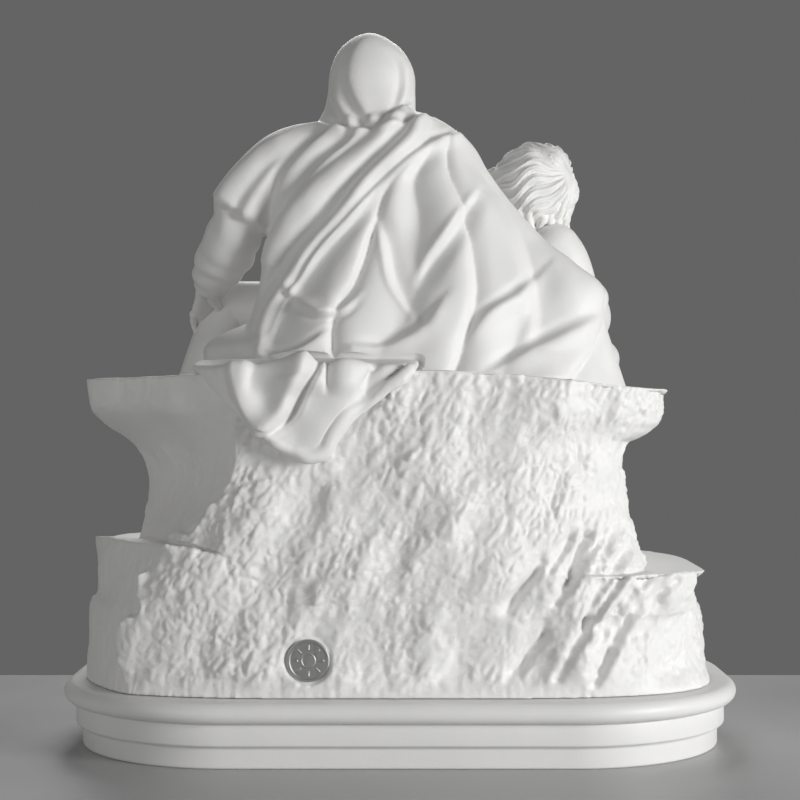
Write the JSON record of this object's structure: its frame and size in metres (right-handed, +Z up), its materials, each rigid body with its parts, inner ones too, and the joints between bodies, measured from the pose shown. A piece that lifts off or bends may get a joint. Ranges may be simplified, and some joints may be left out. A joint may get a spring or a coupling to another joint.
{
  "type": "pieta statue",
  "caption": "White marble-powder pieta statuette: a veiled mother seated on a rock with her dead son across her lap, on a moulded plinth.",
  "frame": {"origin": "middle of the plinth's underside, on the table", "axes": "+Z up, the group faces -Y, +X towards the mother's left"},
  "size_m": [0.3, 0.188, 0.3218],
  "materials": {
    "moulded_marble": "matt white bonded marble powder, smooth on cloth and skin, hammered on the rock",
    "plinth_marble": "smooth satin white bonded marble powder",
    "badge_metal": "brushed grey metal with a raised rim"
  },
  "bodies": {
    "root": {"pieta_group": "moulded_marble", "moulded_plinth": "plinth_marble", "round_badge": "badge_metal"}
  },
  "joints": []
}
